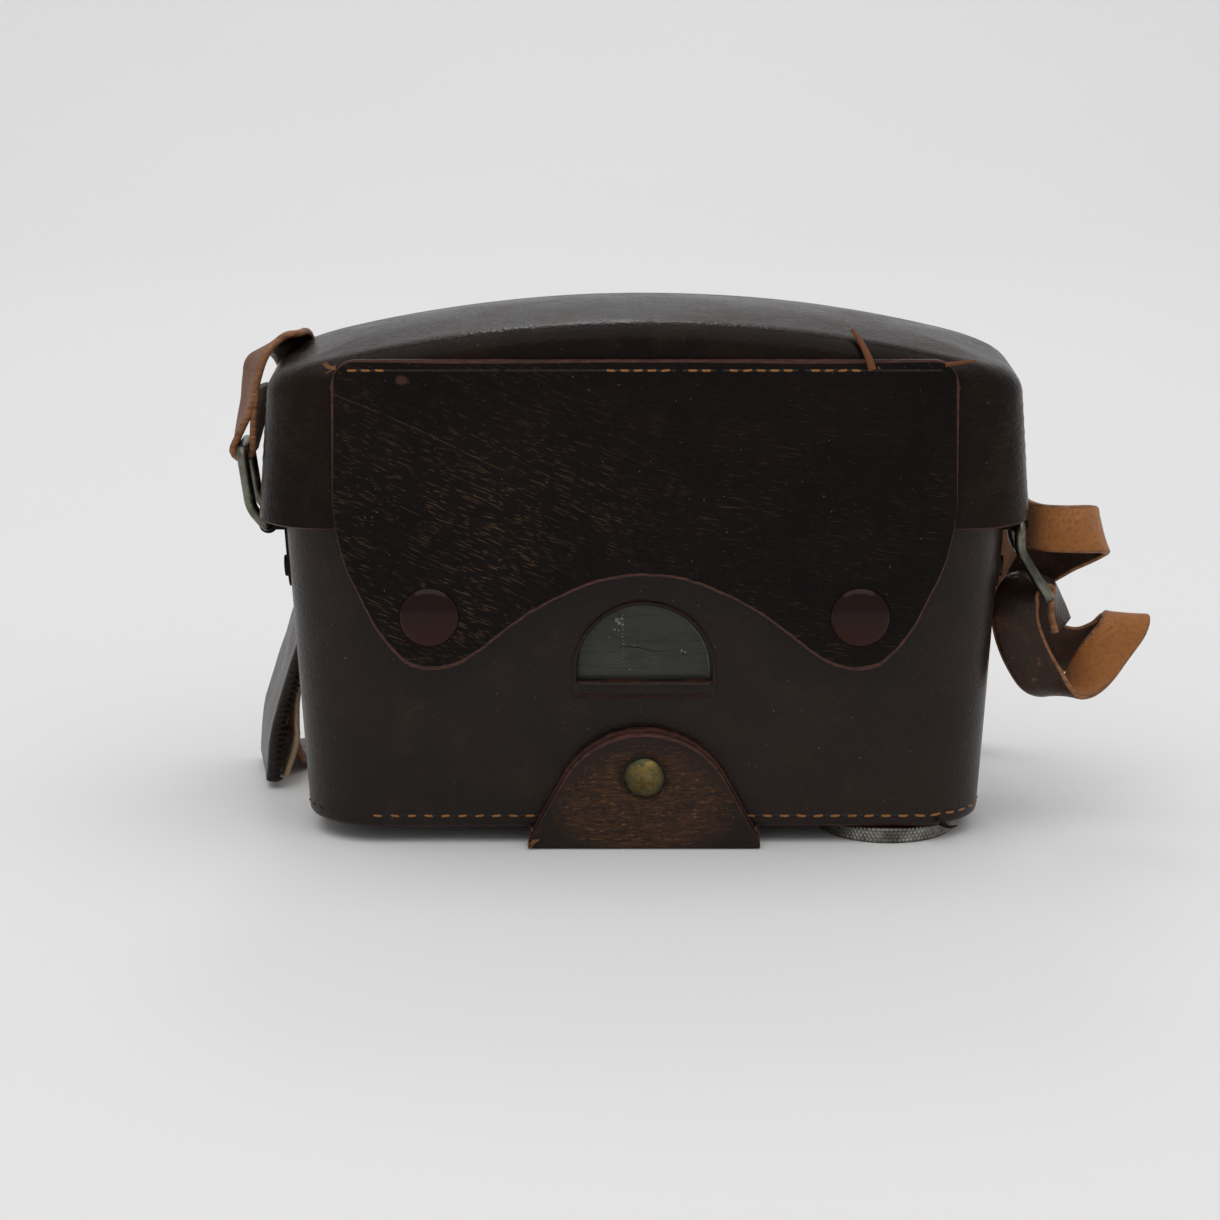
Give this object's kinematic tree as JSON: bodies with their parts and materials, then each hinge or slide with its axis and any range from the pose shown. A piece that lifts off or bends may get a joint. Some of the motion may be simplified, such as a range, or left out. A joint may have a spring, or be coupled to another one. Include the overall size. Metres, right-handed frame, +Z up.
{
  "type": "camera case",
  "caption": "Moulded leather camera case with a hinged domed lid, a stitched flap with press studs, a half-moon window, a half-round tab, a retaining screw and a carrying strap.",
  "frame": {"origin": "under the middle of the case, on the underside of the tongue, at the plane that the case stands on", "axes": "+X along the case's length, to the right as the window side is looked at; -Y out of the window side; +Z up"},
  "size_m": [0.1916, 0.0866, 0.1085],
  "materials": {
    "moulded_leather": "moulded leather, satin",
    "flap_leather": "soft creased leather, semi-gloss",
    "tab_leather": "worn thick leather, matt",
    "strap_leather": "grain leather with a suede back",
    "pad_leather": "worn grain leather",
    "pad_suede": "suede",
    "thread": "waxed linen thread",
    "cap_enamel": "glossy enamel",
    "tab_brass": "tarnished brass",
    "stud_steel": "plated steel",
    "ring_steel": "dull plated steel wire",
    "screw_steel": "knurled plated steel",
    "window_pane": "scratched dark translucent plastic"
  },
  "bodies": {
    "case": {"body_shell": "moulded_leather", "base_panel": "moulded_leather", "base_stitching": "thread", "window_bezel": "moulded_leather", "window_pane": "window_pane", "window_backing": "moulded_leather", "snap_studs": "stud_steel", "snap_stud_backs": "stud_steel", "tab_snap_stud": "tab_brass", "tongue": "tab_leather", "screw_grommet": "stud_steel", "lug_left": "ring_steel", "lug_right": "ring_steel", "lug_rivets": "ring_steel", "lid_hinge_leather": "flap_leather", "strap_over_lid": "strap_leather", "strap_behind_lid": "strap_leather", "strap_right_lower": "strap_leather", "strap_right_fold": "strap_leather", "strap_right_upper": "strap_leather", "strap_back_run": "strap_leather", "shoulder_pad": "pad_leather", "pad_lining": "pad_suede"},
    "lid": {"lid_shell": "moulded_leather", "flap_band": "flap_leather", "flap_stitching": "thread"},
    "flap": {"lid_flap": "flap_leather", "snap_caps": "cap_enamel", "snap_sockets": "stud_steel"},
    "drop_front": {"front_cover": "moulded_leather", "cover_stitching": "thread"},
    "tab": {"tab_outer": "tab_leather", "tab_inner": "tab_leather", "tab_stitching": "thread", "tab_snap_cap": "tab_brass", "tab_snap_socket": "tab_brass"},
    "retaining_screw": {"knurled_wheel": "screw_steel", "screw_shank": "screw_steel", "screw_clip": "screw_steel"},
    "left_ring": {"ring_left": "ring_steel", "strap_left_end": "strap_leather"},
    "right_ring": {"ring_right": "ring_steel", "strap_right_end": "strap_leather"}
  },
  "joints": [
    {"name": "lid_hinge", "type": "hinge", "parent": "case", "child": "lid", "pos_m": [0, 0.0254, 0.0652], "axis": [-1, 0, 0], "range_deg": [0, 105], "deforming": ["lid_hinge_leather", "strap_behind_lid"]},
    {"name": "flap_hinge", "type": "hinge", "parent": "lid", "child": "flap", "pos_m": [0, -0.0269, 0.09615], "axis": [-1, 0, 0], "range_deg": [0, 150]},
    {"name": "drop_front_hinge", "type": "hinge", "parent": "case", "child": "drop_front", "pos_m": [0, 0.0268, 0.0035], "axis": [-1, 0, 0], "range_deg": [0, 75]},
    {"name": "tab_hinge", "type": "hinge", "parent": "case", "child": "tab", "pos_m": [0, -0.0278, 0.0035], "axis": [1, 0, 0], "range_deg": [0, 90]},
    {"name": "retaining_screw_spin", "type": "hinge", "parent": "case", "child": "retaining_screw", "pos_m": [0.0504, -0.0095, 0], "axis": [0, 0, 1], "continuous": true},
    {"name": "left_ring_swing", "type": "hinge", "parent": "case", "child": "left_ring", "pos_m": [-0.0773, 0, 0.0629], "axis": [0, -1, 0], "range_deg": [0, 140], "deforming": ["strap_over_lid"]},
    {"name": "right_ring_swing", "type": "hinge", "parent": "case", "child": "right_ring", "pos_m": [0.0773, 0, 0.0629], "axis": [0, -1, 0], "range_deg": [0, 140], "deforming": ["strap_right_lower", "strap_right_fold", "strap_right_upper", "strap_back_run"]}
  ]
}
